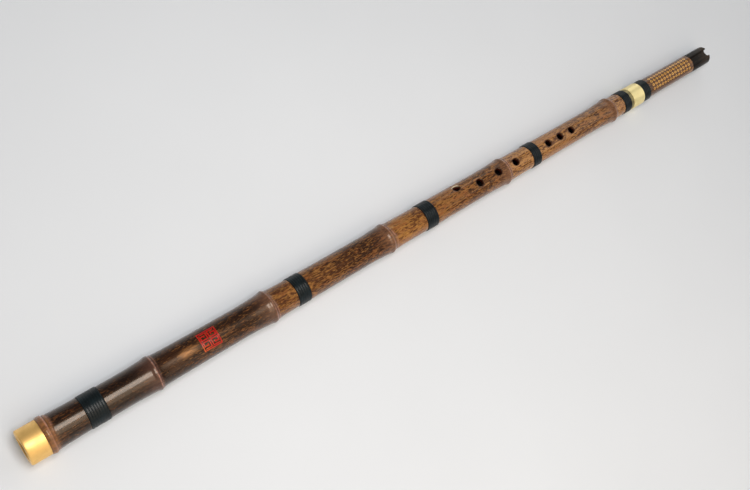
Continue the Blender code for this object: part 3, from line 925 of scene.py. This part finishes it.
def node_skin(f, skin, colours, sides, aged, blotch, tint):
    """The skin with its nodes and holes: a greyer swell before each node, rubbed orange beside the foot cap,
    a painted golden highlight beside the seal, a dark groove and a pale lip in each scar, dark hole edges and
    a painted pale highlight on the side hole's rim.
    """
    x, y = sides
    grey = f.mix(f.line(aged, 0.0, 1.0), colours.node_skin, (0.105, 0.048, 0.036))
    swell = f.mix(f.run(blotch, 0.40, 0.65, 0.0, 0.55), grey, (0.040, 0.015, 0.009))
    skin = f.mix(f.times(f.mark("node"), 0.75), skin, swell)
    rubbed = f.times(f.mark("node"), f.run(x, START + 0.032, START + 0.026))
    rubbed = f.times(rubbed, f.run(blotch, 0.35, 0.60, 0.85, 0.35))
    skin = f.mix(rubbed, skin, (0.40, 0.17, 0.055))
    # Painted highlight: a brighter golden base colour on the top beside the seal's foot side, broken up by
    # the blotches.
    painted_glint = f.times(f.run(x, START + 0.131, START + 0.140), f.run(x, START + 0.156, START + 0.142))
    painted_glint = f.times(painted_glint, f.run(f.math("ABSOLUTE", f.plus(y, 0.001)), 0.0050, 0.0010))
    painted_glint = f.times(painted_glint, f.run(blotch, 0.38, 0.60, 0.90, 0.25))
    skin = f.mix(painted_glint, skin, (0.52, 0.23, 0.075))
    skin = f.mix(f.times(f.mark("groove"), 0.80), skin, (0.035, 0.010, 0.007))
    bare = f.times(f.mark("scar"), f.run(tint, 0.38, 0.60, 0.25, 0.85))
    skin = f.mix(bare, skin, colours.scar)
    skin = f.mix(f.mark("edge"), skin, (0.028, 0.010, 0.006))
    # Painted highlight: a pale cream crescent on the side hole's far rim.
    return f.mix(f.mark("wear_and_glint"), skin, (0.80, 0.66, 0.46))


def bamboo_finish(name, colours, age, gold, has_nodes):
    """Polished bamboo: fine blotches and flecks stretched along the fibres, over a ground that is golden past
    each node and brown before the next. The bore is lacquered red and the head section has a dark panel.
    """
    f = new_finish(
        name,
        Coat_Weight=0.32,
        Coat_Roughness=0.12,
        Coat_IOR=1.55,
        Specular_IOR_Level=0.38,
        Specular_Tint=(1.0, 0.72, 0.50),
    )
    x, y, _ = f.sides()
    drift = f.line(f.noise(20.0, 80.0, 3.0), 0.0, 1.0, -0.030, 0.030)
    place = f.line(f.plus(x, drift), START, START + LENGTH)
    aged = f.curve(place, age)
    golden = f.curve(place, gold)
    if has_nodes:
        golden = f.times(golden, f.mark("fresh"))

    cloud = f.noise(24.0, 75.0, 3.0, 0.5, shift=(0.0, 7.3, 0.0))
    blotch = f.noise(120.0, 800.0, 6.0, 0.66, 0.25)
    fleck = f.noise(300.0, 900.0, 4.0, 0.62, 0.2, shift=(3.1, 0.0, 0.0))
    fibre = f.noise(26.0, 2300.0, 3.0, 0.5)
    tint = f.noise(130.0, 420.0, 4.0, 0.6, shift=(0.0, 0.0, 4.4))

    golden = f.plus(golden, f.line(cloud, 0.35, 0.70, -0.30, 0.30))
    ground = f.mix(f.line(golden, 0.0, 1.0), colours.brown_skin, colours.golden_skin)
    ground = f.mix(f.run(tint, 0.46, 0.62, 0.0, 0.65), ground, colours.red_skin)
    ground = f.mix(f.times(golden, f.run(place, 0.58, 0.65, 0.0, 0.40)), ground, (0.66, 0.34, 0.12))
    stain = f.mix(f.run(golden, 0.15, 0.85), colours.dark_skin, colours.stain)
    level = f.plus(f.plus(f.times(blotch, 0.42), f.times(cloud, 0.26)), f.times(fleck, 0.32))
    level = f.math("SUBTRACT", level, f.times(golden, 0.03))
    level = f.plus(level, f.line(aged, 0.0, 1.0, 0.0, 0.06))
    skin = f.mix(f.run(level, 0.44, 0.54), ground, stain)
    skin = f.mix(f.run(fleck, 0.58, 0.70, 0.0, 0.65), skin, colours.dark_skin)
    skin = f.mix(f.run(fleck, 0.42, 0.30, 0.0, 0.55), skin, f.mix(0.6, ground, (0.62, 0.32, 0.09)))
    skin = f.mix(f.run(fibre, 0.3, 0.7, 0.0, 0.30), skin, (0.10, 0.04, 0.02), "MULTIPLY")
    skin = f.mix(f.line(aged, 0.0, 1.0, 0.0, 0.80), skin, (0.13, 0.085, 0.095), "MULTIPLY")
    if has_nodes:
        skin = node_skin(f, skin, colours, (x, y), aged, blotch, tint)
    else:
        skin = f.mix(f.times(f.mark("panel"), 0.90), skin, (0.100, 0.034, 0.004))
    skin = f.mix(f.mark("lined"), skin, colours.bore_lacquer)
    rough = f.line(blotch, 0.3, 0.7, 0.22, 0.34)
    grain = f.relief(fibre, 0.00006, 0.45)
    pores = f.relief(f.times(fleck, -1.0), 0.00005, 0.30, grain)
    return f.finish(Base_Color=skin, Roughness=rough, Normal=pores)


def brass_finish(name, colour, tarnish, polish, metallic):
    """Turned brass: fine rings of the lathe, cloudy tarnish and rubbed patches."""
    f = new_finish(name, Metallic=metallic)
    rings = f.noise(5200.0, 60.0, 2.0, 0.5)
    cloud = f.noise(120.0, 120.0, 5.0, 0.6)
    spots = f.noise(900.0, 900.0, 3.0, 0.55, shift=(5.0, 0.0, 0.0))
    dull = scaled(colour, 0.62, 0.54, 0.42)
    skin = f.mix(f.run(cloud, 0.42, 0.78, 0.0, tarnish), colour, dull)
    skin = f.mix(f.run(spots, 0.66, 0.78, 0.0, 0.35), skin, dull)
    rough = f.plus(f.line(cloud, 0.3, 0.75, polish, polish + 0.14), f.line(rings, 0.3, 0.7, -0.03, 0.03))
    lathe = f.relief(rings, 0.00003, 0.35)
    return f.finish(Base_Color=skin, Roughness=rough, Normal=f.relief(cloud, 0.00010, 0.25, lathe))


def cord_finish(colours):
    """Thread under black lacquer: thick lacquer with thin rubbed patches where the thread's nap shows."""
    f = new_finish(
        "black_cord_lacquer", Coat_Weight=0.34, Coat_Roughness=0.25, Coat_IOR=1.5, Specular_IOR_Level=0.08
    )
    cloud = f.noise(160.0, 160.0)
    nap = f.noise(2600.0, 900.0, 3.0)
    red, green, blue = colours.cord
    faded = (red * 1.6, green * 1.8 + 0.001, blue * 1.8 + 0.002)
    skin = f.mix(f.run(cloud, 0.40, 0.75), colours.cord, faded)
    skin = f.mix(f.run(nap, 0.45, 0.75, 0.0, 0.5), skin, (0.004, 0.005, 0.005))
    rough = f.line(cloud, 0.3, 0.7, 0.36, 0.52)
    return f.finish(Base_Color=skin, Roughness=rough, Normal=f.relief(nap, 0.00005, 0.5))


def thread_finish(colours):
    """Waxed thread: warm with darker clouds and fibres, a soft waxy gloss and stray fibres."""
    f = new_finish("waxed_thread_wax", Coat_Weight=0.25, Coat_Roughness=0.35)
    cloud = f.noise(260.0, 260.0)
    fibres = f.noise(3800.0, 1100.0, 3.0)
    deep = scaled(colours.thread, 0.45)
    skin = f.mix(f.run(cloud, 0.35, 0.75, 0.0, 0.7), colours.thread, deep)
    skin = f.mix(f.run(fibres, 0.4, 0.7, 0.0, 0.5), skin, deep)
    return f.finish(Base_Color=skin, Roughness=0.6, Normal=f.relief(fibres, 0.00008, 0.6))


def horn_finish(colours):
    """Polished horn: pale and dark streaks along it, a browner cloud near the mouth and a scratched gloss."""
    f = new_finish(
        "horn_polish", Coat_Weight=0.13, Coat_Roughness=0.16, Coat_IOR=1.5, Specular_IOR_Level=0.06
    )
    streak = f.noise(60.0, 520.0, 5.0, 0.6, 0.6)
    cloud = f.noise(90.0, 110.0, 3.0, shift=(0.0, 2.0, 0.0))
    scratch = f.noise(900.0, 2400.0, 3.0)
    mouth = f.run(f.sides()[0], START + 0.782, START + 0.799)
    skin = f.mix(f.run(streak, 0.45, 0.75), colours.horn, (0.028, 0.019, 0.012))
    brown = f.times(mouth, f.run(cloud, 0.35, 0.65, 0.15, 0.75))
    skin = f.mix(brown, skin, (0.060, 0.036, 0.020))
    rough = f.line(scratch, 0.3, 0.7, 0.26, 0.40)
    return f.finish(Base_Color=skin, Roughness=rough, Normal=f.relief(scratch, 0.00003, 0.35))


def gilt_finish(colours):
    """Gilding rubbed by hand: warm gold with thinned and reddened patches."""
    f = new_finish("gilt_rubbed", Metallic=0.30, Coat_Weight=0.3, Coat_Roughness=0.2)
    wear_and_glint = f.noise(700.0, 700.0)
    cloud = f.noise(180.0, 180.0, 3.0)
    pale = tuple(min(1.0, channel * 1.25 + 0.03) for channel in colours.gilt)
    skin = f.mix(f.run(cloud, 0.35, 0.65), colours.gilt, pale)
    skin = f.mix(f.run(wear_and_glint, 0.60, 0.74, 0.0, 0.8), skin, (0.20, 0.075, 0.02))
    rough = f.line(wear_and_glint, 0.3, 0.7, 0.30, 0.45)
    return f.finish(Base_Color=skin, Roughness=rough, Normal=f.relief(wear_and_glint, 0.00004, 0.4))


def seal_finish(colours):
    """Red seal paint: brighter where it lies thick, with a painted orange highlight on its corner towards the
    foot.
    """
    f = new_finish("seal_paint", Coat_Weight=0.3, Coat_Roughness=0.12, Coat_IOR=1.5, Specular_IOR_Level=0.15)
    wear_and_glint = f.noise(420.0, 520.0, 5.0, 0.6)
    x, y, _ = f.sides()
    # Painted highlight: orange on the seal's corner towards the foot and -Y, broken up by the noise.
    corner = f.times(f.run(y, 0.001, -0.007), f.run(x, START + 0.166, START + 0.155))
    skin = f.mix(f.times(corner, f.run(wear_and_glint, 0.3, 0.6)), colours.seal_red, (0.60, 0.11, 0.02))
    skin = f.mix(f.run(wear_and_glint, 0.56, 0.70, 0.0, 0.55), skin, (0.26, 0.008, 0.010))
    return f.finish(Base_Color=skin, Roughness=0.34, Normal=f.relief(wear_and_glint, 0.00005, 0.4))


def floor_finish(colours):
    """Pale paper: a faint cloud and a fine tooth."""
    f = new_finish("pale_floor")
    cloud = f.noise(3.0, 3.0, 3.0)
    tooth = f.noise(600.0, 600.0, 2.0)
    skin = f.mix(f.run(cloud, 0.3, 0.7), colours.floor, scaled(colours.floor, 0.97))
    return f.finish(Base_Color=skin, Roughness=0.85, Normal=f.relief(tooth, 0.0001, 0.1))


# Making


class FLUTE_OT_lower_bamboo(bpy.types.Operator):
    """Make the lower bamboo tube with its nodes, grooves and holes"""

    bl_idname = "flute.lower_bamboo"
    bl_label = "Lower bamboo tube"

    def execute(self, context):
        mesh = lower_tube_mesh(context.scene.flute_sizes)
        finish = bamboo_finish("dark_bamboo_skin", context.scene.flute_colours, LOWER_AGE, LOWER_GOLD, True)
        place_piece("lower_bamboo", mesh, finish, "lower_section", "dark_bamboo", "lower_tube")
        return {"FINISHED"}


class FLUTE_OT_head_bamboo(bpy.types.Operator):
    """Make the head section's bamboo tube"""

    bl_idname = "flute.head_bamboo"
    bl_label = "Head bamboo tube"

    def execute(self, context):
        finish = bamboo_finish("golden_bamboo_skin", context.scene.flute_colours, HEAD_AGE, HEAD_GOLD, False)
        place_piece("head_bamboo", head_tube_mesh(), finish, "head_section", "golden_bamboo", "head_tube")
        return {"FINISHED"}


class FLUTE_OT_brass(bpy.types.Operator):
    """Make the foot cap, the socket with its rim, the tenon and the wide ring"""

    bl_idname = "flute.brass"
    bl_label = "Brass fittings"

    def execute(self, context):
        colours = context.scene.flute_colours
        golden = brass_finish("golden_brass", colours.brass, 0.30, 0.38, 0.65)
        pale = brass_finish("pale_brass", colours.pale_brass, 0.15, 0.30, 0.50)
        # The socket's thin rim between the last lower binding and the ring: the pale brass at a third of its
        # brightness.
        dark = brass_finish("dark_brass", scaled(colours.pale_brass, 0.34), 0.70, 0.30, 0.90)
        groove_end = LAPPING_AT + LAPPING_LENGTH + 2 * GLUE_GAP
        foot_cap = stepped(
            (0.0, FERRULE_LENGTH, FERRULE_LIP),
            (FERRULE_MOUTH, FERRULE_OUTER, FERRULE_INNER),
            (0.0009, 0.0016, 0.00025, 0.0001, 0.0001, 0.0003),
            steps=6,
        )
        socket = stepped(
            (SOCKET_END, RIM_AT, LOWER_LENGTH),
            (SOCKET_INNER, SOCKET_OUTER, lower_radius(RIM_AT)),
            (0.0002, 0.0001, 0.0001, 0.0004, 0.0005, 0.0005),
        )
        tenon = stepped(
            (TENON_TIP, LAPPING_AT, groove_end, TENON_TOP),
            (HEAD_BORE, TENON_OUTER, LAPPING_FLOOR, TENON_OUTER),
            (0.0003, 0.0004, 0.0001, 0.0001, 0.0001, 0.0001, 0.0002, 0.0002),
        )
        ring = stepped(
            (RING_AT, RING_END, RING_AT + RING_LIP),
            (TENON_OUTER + GLUE_GAP, RING_OUTER, HEAD_RADIUS + GLUE_GAP),
            (0.0001, 0.0005, 0.0005, 0.0001, 0.0001, 0.0001),
            steps=6,
        )
        for name, outline, finish, body, node in (
            ("foot_cap", foot_cap, golden, "lower_section", "foot_ferrule"),
            ("socket_brass", socket, dark, "lower_section", "socket_sleeve"),
            ("tenon_brass", tenon, pale, "head_section", "tenon_sleeve"),
            ("ring_brass", ring, pale, "head_section", "head_ferrule"),
        ):
            place_piece(name, turned_mesh(name, outline), finish, body, "brass", node)
        return {"FINISHED"}


class FLUTE_OT_bindings(bpy.types.Operator):
    """Wind the six black bindings"""

    bl_idname = "flute.bindings"
    bl_label = "Bindings"

    def execute(self, context):
        finish = cord_finish(context.scene.flute_colours)
        bindings = [(binding, lower_radius, "lower_section") for binding in LOWER_BINDINGS]
        for binding, surface, body in [*bindings, (HEAD_BINDING, head_radius, "head_section")]:
            mesh = binding_mesh(binding, surface, context.scene.flute_sizes)
            place_piece(f"{binding[0]}_thread", mesh, finish, body, "black_cord", binding[0])
        return {"FINISHED"}


class FLUTE_OT_tenon_thread(bpy.types.Operator):
    """Wind the waxed thread on the tenon"""

    bl_idname = "flute.tenon_thread"
    bl_label = "Tenon thread"

    def execute(self, context):
        thread, depth = 0.0005, 0.00016
        band = (LAPPING_AT + GLUE_GAP, LAPPING_LENGTH)
        radii = (TENON_OUTER, TENON_OUTER - 0.0003, LAPPING_FLOOR + GLUE_GAP)
        mesh = wound_mesh("tenon_thread", *band, *radii, thread, depth, 1, 0.0, samples=8)
        finish = thread_finish(context.scene.flute_colours)
        place_piece("tenon_thread", mesh, finish, "lapping_section", "waxed_thread", "tenon_lapping")
        return {"FINISHED"}


class FLUTE_OT_horn_tip(bpy.types.Operator):
    """Make the horn mouth tip and cut its blowing notch"""

    bl_idname = "flute.horn_tip"
    bl_label = "Horn tip"

    def execute(self, context):
        mesh = carve(tip_mesh(), notch_mesh())
        finish = horn_finish(context.scene.flute_colours)
        place_piece("mouth_tip_horn", mesh, finish, "head_section", "horn", "mouth_tip")
        return {"FINISHED"}


class FLUTE_OT_gilt_lozenges(bpy.types.Operator):
    """Lay the rows of gilt lozenges on the head section"""

    bl_idname = "flute.gilt_lozenges"
    bl_label = "Gilt lozenges"

    def execute(self, context):
        sizes = context.scene.flute_sizes
        size = sizes.lozenge_size
        rows, number = sizes.lozenge_rows, sizes.lozenge_count
        rows_length, rows_width = 0.0615, 0.0168
        line_share, line_height = 0.22, 0.00008
        corners = [(0.25, -0.25), (0.5, 0), (0, 0.5), (-0.5, 0), (0, -0.5), (0.25, -0.25)]
        column, row = np.meshgrid(np.arange(number), np.arange(rows))
        place = LOZENGE_PLACE + (column.ravel() - (number - 1) / 2) * rows_length / number
        arc = (row.ravel() - (rows - 1) / 2) * rows_width / rows
        paths = np.stack([place, arc], -1)[:, None] + np.array(corners) * (size, size * 0.86)
        mesh = raised_lines("gilt_lozenges", paths, size * line_share, line_height, head_skin, 3)
        finish = gilt_finish(context.scene.flute_colours)
        place_piece("gilt_lozenges", mesh, finish, "head_section", "golden_bamboo")
        return {"FINISHED"}


class FLUTE_OT_red_seal(bpy.types.Operator):
    """Paint the red square of frets on the lower section"""

    bl_idname = "flute.red_seal"
    bl_label = "Red seal"

    def execute(self, context):
        finish = seal_finish(context.scene.flute_colours)
        paint_height = 0.00006
        fret_size, fret_away = 0.0056, 0.0037
        middle = np.array([SEAL_PLACE, 0.0])
        half = context.scene.flute_sizes.seal_size / 2 - 0.0005
        quarter_turn = np.array([[0.0, 1.0], [-1.0, 0.0]])
        side = np.column_stack([np.linspace(-1, 1, 9), np.full(9, -1.0)])[:-1]
        sides = [side @ np.linalg.matrix_power(quarter_turn, turns) for turns in range(4)]
        square = np.roll(np.concatenate(sides), -4, axis=0)
        border = middle + np.vstack([square, square[:1]]) * half
        hook = [(-3, -3), (3, -3), (3, 3), (-3, 3), (-3, -0.6), (0.6, -0.6), (0.6, 0.9)]
        fret = np.array(hook) / 6 * fret_size
        corners = np.array([(-1, -1), (-1, 1), (1, -1), (1, 1)], float)[:, None]
        frets = middle + corners * fret_away - fret * corners
        for name, paths, width, split in (
            ("seal_border", border[None], 0.0009, 2),
            ("seal_frets", frets, 0.0010, 6),
        ):
            mesh = raised_lines(name, paths, width, paint_height, lower_skin, split)
            place_piece(name, mesh, finish, "lower_section", "dark_bamboo")
        return {"FINISHED"}


class FLUTE_OT_studio(bpy.types.Operator):
    """Set up the floor, the lights and the camera"""

    bl_idname = "flute.studio"
    bl_label = "Studio"

    def execute(self, context):
        scene = context.scene
        studio = scene.flute_studio
        white = (1.0, 0.97, 0.93)
        warm = (1.0, 0.84, 0.66)
        self.floor(scene)
        for name, watts, tone, size, place, aim in (
            ("key_light", studio.key_power, white, (0.42, 0.58), (-0.25, -0.10, 1.15), (-0.25, -0.05, 0.0)),
            ("half_light", studio.half_power, warm, (0.50, 0.55), (-0.25, -0.68, 1.00), (-0.25, 0.0, 0.0)),
            ("side_light", studio.side_power, warm, (0.90, 0.60), (-0.30, -1.15, 0.58), (-0.30, 0.0, 0.0)),
            ("head_light", studio.head_power, white, (1.6, 2.4), (2.0, -0.4, 1.3), (0.2, 0.0, 0.0)),
            ("far_light", studio.far_power, white, (1.2, 0.7), (1.35, 1.15, 0.62), (0.25, 0.0, 0.0)),
        ):
            self.panel(name, watts, tone, size, place, aim)
        self.room(scene, studio)
        self.camera(scene, studio)
        scene.view_settings.view_transform = "Standard"
        return {"FINISHED"}

    def floor(self, scene):
        """A square plane that slopes along X so that it touches the flute's first and last nodes."""
        lines = 9
        across = np.linspace(-4.0, 4.0, lines)
        x, y = np.meshgrid(across, across, indexing="ij")
        first, last = NODES[0][0], NODES[-1][0]
        low = lower_radius(np.array([first, last]))
        level = AXIS_HEIGHT - low[0] - 0.0001
        z = level + (low[0] - low[1]) / (last - first) * (x - START - first)
        quads = ring_quads(lines, lines, closed=False)[:, :-1]
        mesh = mesh_of("floor", np.stack([x, y, z], -1), [quads])
        mesh.materials.append(floor_finish(scene.flute_colours))
        put("floor", mesh)

    def panel(self, name, watts, tone, size, place, aim):
        """A soft rectangular light of (along X, across) that faces its aim."""
        light = bpy.data.lights.new(name, "AREA")
        set_up(light, shape="RECTANGLE", size=size[0], size_y=size[1], energy=watts, color=tone)
        back = np.array(place) - np.array(aim)
        back = back / np.linalg.norm(back)
        side = np.cross((0.0, 1.0, 0.0), back)
        side = side / np.linalg.norm(side)
        rows = np.column_stack([side, np.cross(back, side), back, place])
        put(name, light).matrix_world = Matrix([*rows.tolist(), (0.0, 0.0, 0.0, 1.0)])

    def room(self, scene, studio):
        """A pale room that fades from the wall's brightness near the horizon to the ceiling's."""
        f = Nodes(bpy.data.worlds.new("pale_room"), "Background", "Generated", Color=(0.96, 0.98, 1.0))
        height = f.sides()[2]
        scene.world = f.finish(Strength=f.run(height, 0.02, 0.40, studio.wall, studio.ceiling))

    def camera(self, scene, studio):
        lens = bpy.data.cameras.new("camera")
        scene.camera = put("camera", set_up(lens, lens=studio.lens, sensor_width=36.0, clip_start=0.01))
        scene.camera.matrix_world = Matrix(
            (
                (0.781268, 0.452116, -0.430362, -0.44727),
                (-0.542512, 0.832823, -0.109941, -0.09892),
                (0.308709, 0.319370, 0.895936, 0.82159),
                (0.0, 0.0, 0.0, 1.0),
            )
        )


class FLUTE_PT_looks(bpy.types.Panel):
    """The flute's sizes, colours and studio, and a button for each piece"""

    bl_idname = "FLUTE_PT_looks"
    bl_label = "Xiao"
    bl_space_type = "VIEW_3D"
    bl_region_type = "UI"
    bl_category = "Xiao"

    def draw(self, context):
        layout = self.layout
        for name, kind in GROUPS.items():
            box = layout.box()
            for setting in kind.__annotations__:
                box.prop(getattr(context.scene, name), setting)
        for operator in OPERATORS:
            layout.operator(operator.bl_idname)


OPERATORS = (
    FLUTE_OT_lower_bamboo,
    FLUTE_OT_head_bamboo,
    FLUTE_OT_brass,
    FLUTE_OT_bindings,
    FLUTE_OT_tenon_thread,
    FLUTE_OT_horn_tip,
    FLUTE_OT_gilt_lozenges,
    FLUTE_OT_red_seal,
    FLUTE_OT_studio,
)
GROUPS = {"flute_sizes": FluteSizes, "flute_colours": FluteColours, "flute_studio": FluteStudio}
CLASSES = (*GROUPS.values(), *OPERATORS, FLUTE_PT_looks)


def register():
    for kind in CLASSES:
        bpy.utils.register_class(kind)
    for name, group in GROUPS.items():
        setattr(bpy.types.Scene, name, bpy.props.PointerProperty(type=group))


def unregister():
    for name in GROUPS:
        delattr(bpy.types.Scene, name)
    for kind in reversed(CLASSES):
        bpy.utils.unregister_class(kind)


def main():
    register()
    bpy.ops.flute.lower_bamboo()
    bpy.ops.flute.head_bamboo()
    bpy.ops.flute.brass()
    bpy.ops.flute.bindings()
    bpy.ops.flute.tenon_thread()
    bpy.ops.flute.horn_tip()
    bpy.ops.flute.gilt_lozenges()
    bpy.ops.flute.red_seal()
    bpy.ops.flute.studio()


if __name__ == "__main__":
    main()
